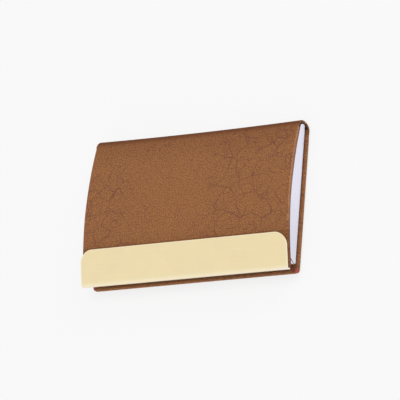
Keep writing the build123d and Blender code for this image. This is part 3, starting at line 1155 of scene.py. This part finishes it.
def leather_finish(finish):
    """Cowhide with a pebbled grain, veins, small pits and rubbed edges."""
    material, tree, shader = fresh_material("brown_leather", Specular_IOR_Level=0.15)
    if not tree:
        return material
    place = kept_place(tree, "grain_place")
    across, along, _ = axes(tree, place)
    from_spine = calculate(tree, "ABSOLUTE", along)
    veins = vein_lines(tree, place, across, along, finish.vein)
    pebble = use_group(tree, creases_group(), place=place, cell=finish.grain, width=0.26,
                       bend=0.3, fade=0.1)
    fine = calculate(tree, "MULTIPLY", calculate(tree, "MULTIPLY", pebble["Line"], 0.4),
                     calculate(tree, "SUBTRACT", 1.0, veins))
    pits = noise(tree, in_units(tree, place, 1.1 * MM), 1, 0.5)[0]
    pits = calculate(tree, "MULTIPLY", ramp(tree, pits, 0.62, 0.76),
                     ramp(tree, from_spine, 6 * MM, 30 * MM, 0.6, 0.12))
    dark = calculate(tree, "ADD", calculate(tree, "ADD", veins, fine), pits)

    colour, mottle = mottled(tree, place, finish.leather, 14 * MM, 0.03)
    colour = blend(tree, dark, colour, opaque(finish.crease))
    speck = noise(tree, in_units(tree, place, 0.48 * MM), 1, 0.6)[0]
    colour = shaded(tree, colour, ramp(tree, speck, 0.25, 0.75, 0.62, 1.36))

    # the leather is darker where it bends round the spine, partly its own darker tone and
    # partly painted shade where the arch turns from the light, and darker along the plate's top
    # edge, partly pressed leather and partly a painted contact shadow
    fold = ramp(tree, from_spine, 4.6 * MM, 7.6 * MM, 1, 0)
    tone_and_shade = calculate(tree, "MULTIPLY_ADD", fold, 0.5,
                      ramp(tree, from_spine, 6 * MM, 20 * MM, 0.24, 0))
    tone_and_shade = calculate(tree, "MAXIMUM", tone_and_shade, ramp(tree, along, 50.8 * MM, 51.8 * MM, 0, 0.35))
    colour = blend(tree, tone_and_shade, colour, opaque(finish.bent))

    # paler rubbed edges, which also stand in for a painted highlight where the rolled edges
    # catch the light
    wear = add_node(tree, "Attribute", attribute_name="edge_wear_and_highlight").outputs["Fac"]
    rub_and_highlight = use_group(tree, rubbed_and_highlight_group(), place=place, wear=wear, patch=0.7 * MM)["Mask"]
    colour = blend(tree, rub_and_highlight, colour, opaque(finish.worn))

    roughness = calculate(tree, "MULTIPLY", ramp(tree, dark, 0.0, 0.8, 0.6, 0.75), mottle)
    roughness = calculate(tree, "MULTIPLY_ADD", fold, 0.3, roughness, clamp=True)
    height = calculate(tree, "MULTIPLY_ADD", pebble["Height"], 0.35, 1.0)
    height = calculate(tree, "SUBTRACT", height, dark)
    height = calculate(tree, "MULTIPLY_ADD", speck, 0.25, height)
    feed(tree, shader, colour, roughness, height, 0.09 * MM)
    return material


def cloth_finish(finish):
    """Black napped cloth."""
    material, tree, shader = fresh_material("black_cloth", Sheen_Weight=0.1,
                                            Sheen_Roughness=0.4, Specular_IOR_Level=0.2)
    if not tree:
        return material
    place = object_place(tree)
    nap = noise(tree, in_units(tree, place, 0.35 * MM), 3, 0.7)[0]
    colour, _ = mottled(tree, place, finish.cloth, 6 * MM, 0.35)
    colour = blend(tree, ramp(tree, nap, 0.45, 0.75), colour, opaque(finish.cloth, 2.6))
    feed(tree, shader, colour, ramp(tree, nap, 0.2, 0.8, 0.98, 0.85), nap, 0.12 * MM)
    return material


def gilt_finish(finish, plate):
    """Satin gilt, brushed along the plate, with a painted highlight at its rim and its bend,
    and a painted white highlight low on the bend toward its right end.
    """
    material, tree, shader = fresh_material("satin_gilt", Metallic=1.0)
    if not tree:
        return material
    place = kept_place(tree, "plate_place")
    across, up, _ = axes(tree, place)
    lines = use_group(tree, rolled_group(), place=place, pitch=0.14 * MM,
                      stretch=(0.02, 1, 1))[0]
    colour, mottle = mottled(tree, place, finish.gilt, 12 * MM, 0.05)
    colour = shaded(tree, colour, ramp(tree, lines, 0.2, 0.8, 0.965, 1.035))

    inwards = use_group(tree, outline_group(), place=place, half_width=CASE_WIDTH / 2,
                        height=plate.height, corner=plate.corner)[0]
    # painted highlight along the rim and the bend, made patchy by the mottle
    wear = calculate(tree, "MAXIMUM", ramp(tree, inwards, 0.0, 0.6 * MM, 0.9, 0.0),
                     ramp(tree, up, 0.3 * MM, 2.2 * MM, 0.85, 0.0))
    rub_and_highlight = calculate(tree, "MULTIPLY", wear, mottle)
    colour = blend(tree, rub_and_highlight, colour, opaque(finish.gilt_highlight))
    # painted white highlight low on the bend, faint at the left and full at the right end
    bare = calculate(tree, "MULTIPLY", ramp(tree, up, 0.1 * MM, 0.5 * MM, 1.0, 0.0),
                     ramp(tree, across, 38 * MM, 47 * MM, 0.12, 1.0))
    colour = blend(tree, bare, colour, opaque(finish.bend_highlight))
    roughness = calculate(tree, "MULTIPLY_ADD", rub_and_highlight, -0.1,
                          ramp(tree, lines, 0.25, 0.75, 0.34, 0.46))
    feed(tree, shader, colour, roughness, lines, 0.002 * MM)
    return material


def metal_finish(name, tint, stretch, mouth_shade=1.0, inside=1.0):
    """Bright rolled sheet or plated metal, with painted shade that darkens it toward the case's
    mouth and inside it.
    """
    material, tree, shader = fresh_material(name, Metallic=1.0)
    if not tree:
        return material
    place = object_place(tree)
    across, along, _ = axes(tree, place)
    lines = use_group(tree, rolled_group(), place=place, pitch=0.25 * MM,
                      stretch=stretch)[0]
    colour, _ = mottled(tree, place, tint, 14 * MM, 0.08)
    from_middle = calculate(tree, "ABSOLUTE", across)
    # rolled grain, then painted shade toward the mouth and inside the tray
    for factor in (ramp(tree, lines, 0.25, 0.75, 0.975, 1.02),
                   ramp(tree, along, -18 * MM, 6 * MM, mouth_shade, 1.0),
                   ramp(tree, from_middle, 45.2 * MM, 46 * MM, inside, 1.0)):
        colour = shaded(tree, colour, factor)
    feed(tree, shader, colour, ramp(tree, lines, 0.2, 0.8, 0.24, 0.34), lines, 0.001 * MM)
    return material


def board_finish(name, tint, fibre=0.8 * MM):
    """Pressed fibre board or tape, in its own tint and with fibres of its own size."""
    material, tree, shader = fresh_material(name)
    if not tree:
        return material
    place = object_place(tree)
    strands = noise(tree, in_units(tree, place, fibre), 5, 0.7)[0]
    colour, _ = mottled(tree, place, tint, 5 * MM, 0.25)
    colour = blend(tree, ramp(tree, strands, 0.5, 0.75, 0, 0.5), colour, opaque(tint, 0.45))
    feed(tree, shader, colour, ramp(tree, strands, 0.2, 0.8, 0.7, 0.95), strands, 0.05 * MM)
    return material


# ---- Stage --------------------------------------------------------------------------
class View:
    """Directions of the camera: back from the case, and its right and up.

    Level and rise are its right and up before it is turned about its line of sight.
    """

    def __init__(self, form):
        cos, sin = math.cos, math.sin
        self.back = Vector((sin(form.azimuth) * cos(form.elevation),
                            -cos(form.azimuth) * cos(form.elevation), sin(form.elevation)))
        self.level = Vector((cos(form.azimuth), sin(form.azimuth), 0))
        self.rise = self.back.cross(self.level)
        self.right = cos(form.roll) * self.level + sin(form.roll) * self.rise
        self.up = cos(form.roll) * self.rise - sin(form.roll) * self.level


class CARD_OT_stage(bpy.types.Operator):
    """Pale floor, soft light and the camera"""
    bl_idname = "card.stage"
    bl_label = "Stage"

    def execute(self, context):
        form = context.scene.card_holder.stage
        context.scene.view_settings.view_transform = "Standard"
        low, high = cad_box
        aim = Vector(((low.x + high.x) / 2, form.aim_y, form.aim_z))
        view = View(form)
        add_camera(context.scene, form, view, aim)
        add_lamps(context.scene, view, aim)
        light_world(context.scene, form)

        bpy.ops.object.select_all(action="DESELECT")
        bpy.ops.mesh.primitive_plane_add(size=6, location=(0, 0, -0.05 * MM))
        bpy.ops.object.transform_apply(location=True, rotation=True, scale=True)
        floor = context.object
        floor.name = "floor"
        floor.data.materials.append(floor_finish(form))
        return {"FINISHED"}


def add_camera(scene, form, view, aim):
    """Puts the camera at its distance from the point it turns about, and slides it."""
    data = bpy.data.cameras.new("camera")
    data.sensor_width, data.lens, data.clip_end = 36.0, form.lens, 10
    camera = bpy.data.objects.new("camera", data)
    place = aim + form.distance * view.back + form.slide_x * view.right + form.slide_y * view.up
    turned = Matrix((view.right, view.up, view.back)).transposed()
    camera.matrix_world = Matrix.Translation(place) @ turned.to_4x4()
    scene.collection.objects.link(camera)
    scene.camera = camera


def add_lamps(scene, view, aim):
    """Adds soft square lamps, each with its way from the case, its size and its power."""
    for name, away, size, power in (
            ("key", view.back * 0.9 + view.up * 0.5 - view.right * 0.45, 0.5, 6.0),
            ("side", view.level * 0.8 + Vector((0, 0, 0.5)) - view.rise * 0.1, 0.4, 1.5),
            ("front", Vector((0, -0.6, 0.05)), 0.3, 1.4)):
        lamp = bpy.data.lights.new(name, "AREA")
        lamp.energy, lamp.size = power, size
        holder = bpy.data.objects.new(name, lamp)
        holder.visible_glossy = False
        scene.collection.objects.link(holder)
        holder.location = aim + away
        holder.rotation_euler = away.to_track_quat("Z", "Y").to_euler()


def light_world(scene, form):
    """Gives light from all round, and the background's brightness where it is seen."""
    world = scene.world or bpy.data.worlds.new("world")
    scene.world = world
    world.use_nodes = True
    tree = world.node_tree
    tree.nodes.clear()
    strength = ramp(tree, seen_directly(tree), 0, 1, form.fill, form.pale)
    light = add_node(tree, "Background", {"Color": (1, 1, 1, 1), "Strength": strength})
    add_node(tree, "OutputWorld", {"Surface": light.outputs["Background"]})


def seen_directly(tree):
    """1 for rays from the camera and from mirrors, 0 for light."""
    path = add_node(tree, "LightPath").outputs
    return calculate(tree, "MAXIMUM", path["Is Camera Ray"], path["Is Glossy Ray"])


def floor_finish(form):
    """Pale floor that shows the background's brightness and a soft shadow."""
    material, tree, shader = fresh_material("pale_floor", Base_Color=(0.9, 0.9, 0.9, 1),
                                            Roughness=1.0, Specular_IOR_Level=0.0)
    glow = add_node(tree, "Emission", {"Strength": form.pale})
    part = calculate(tree, "MULTIPLY", seen_directly(tree), form.plain)
    mix = add_node(tree, "MixShader", {0: part, 1: shader.outputs["BSDF"],
                                       2: glow.outputs["Emission"]})
    output = next(node for node in tree.nodes if node.type == "OUTPUT_MATERIAL")
    tree.links.new(mix.outputs["Shader"], output.inputs["Surface"])
    return material


# ---- Panel and registration ---------------------------------------------------------
OPERATORS = (CARD_OT_back_cover, CARD_OT_board_corners, CARD_OT_flap_cover,
             CARD_OT_spine, CARD_OT_linings, CARD_OT_closure_plate, CARD_OT_tray,
             CARD_OT_hidden_parts, CARD_OT_stage)


class CARD_PT_panel(bpy.types.Panel):
    """Lists the card holder's pieces and settings"""
    bl_label = "Card holder"
    bl_idname = "CARD_PT_panel"
    bl_space_type = "VIEW_3D"
    bl_region_type = "UI"
    bl_category = "Card holder"

    def draw(self, context):
        form = context.scene.card_holder
        for operator in OPERATORS:
            self.layout.operator(operator.bl_idname)
        for group in (form.case, form.cover, form.spine, form.plate, form.tray,
                      form.finish, form.stage):
            box = self.layout.box()
            for name in group.__annotations__:
                box.prop(group, name)


CLASSES = (CaseForm, CoverForm, SpineForm, PlateForm, TrayForm, Finishes, StageForm,
           CardHolder, *OPERATORS, CARD_PT_panel)


def register():
    for kind in CLASSES:
        bpy.utils.register_class(kind)
    bpy.types.Scene.card_holder = PointerProperty(type=CardHolder)


def unregister():
    del bpy.types.Scene.card_holder
    for kind in reversed(CLASSES):
        bpy.utils.unregister_class(kind)


def main():
    register()
    for operator in OPERATORS:
        group, name = operator.bl_idname.split(".")
        getattr(getattr(bpy.ops, group), name)()


if __name__ == "__main__":
    main()
